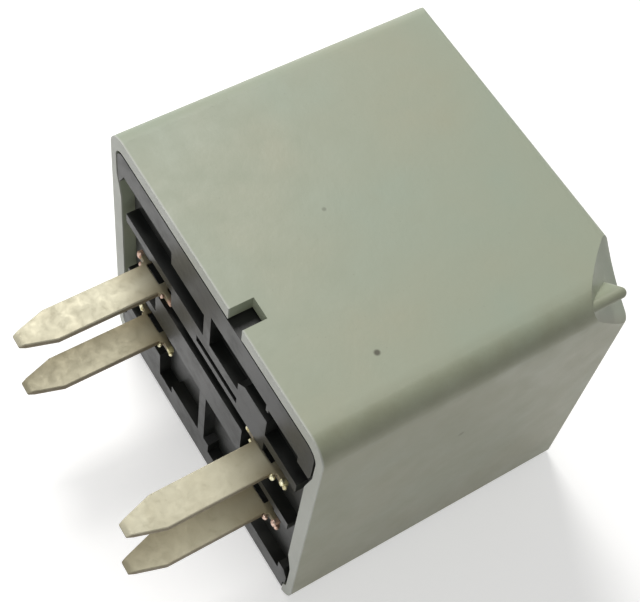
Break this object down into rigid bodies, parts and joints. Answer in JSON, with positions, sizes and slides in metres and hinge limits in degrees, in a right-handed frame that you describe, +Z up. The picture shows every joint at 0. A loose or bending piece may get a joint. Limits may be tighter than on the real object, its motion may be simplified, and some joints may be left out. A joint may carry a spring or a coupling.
{
  "type": "automotive relay",
  "caption": "Cube-shaped plug-in automotive relay: grey moulded cover with a keyed corner, dark moulded base and parallel tapered blade terminals, lying on one side.",
  "frame": {"origin": "centre of the footprint's bounding box, on the surface the relay lies on", "axes": "+Y along the blades towards the closed end of the cover, +X across the blade pairs, +Z up, out of the side that faces up"},
  "size_m": [0.028, 0.0364, 0.028],
  "materials": {
    "cover_plastic": "satin moulded, lightly pitted",
    "base_plastic": "satin moulded",
    "copper_blade": "dull tin plate over copper alloy, tarnished",
    "brass_blade": "dull tin plate over brass, tarnished",
    "bobbin_plastic": "natural nylon",
    "copper_wire": "enamelled",
    "tape": "smooth film",
    "relay_iron": "plated, satin",
    "spring_bronze": "rolled, satin",
    "contact_silver": "satin",
    "stop_brass": "rolled, satin",
    "rivet_steel": "satin"
  },
  "bodies": {
    "housing": {"cover": "cover_plastic", "base": "base_plastic", "terminal_common": "copper_blade", "terminal_normally_open": "copper_blade", "terminal_coil_a": "brass_blade", "terminal_coil_b": "brass_blade", "bobbin": "bobbin_plastic", "coil_winding": "copper_wire", "winding_tape": "tape", "core": "relay_iron", "yoke": "relay_iron", "fixed_contact": "contact_silver", "back_stop": "stop_brass", "coil_lead_a": "copper_wire", "coil_lead_b": "copper_wire", "spring_studs": "rivet_steel"},
    "armature": {"armature": "relay_iron", "contact_spring": "spring_bronze", "moving_contact": "contact_silver", "armature_rivets": "rivet_steel"}
  },
  "joints": [
    {"name": "armature_pivot", "type": "hinge", "parent": "housing", "child": "armature", "pos_m": [-0.00725, 0.01149, 0.01475], "axis": [0, 0, -1], "range_deg": [0, 4.2], "stiffness_Nm_per_rad": 0.06, "springref_deg": -8.59}
  ]
}
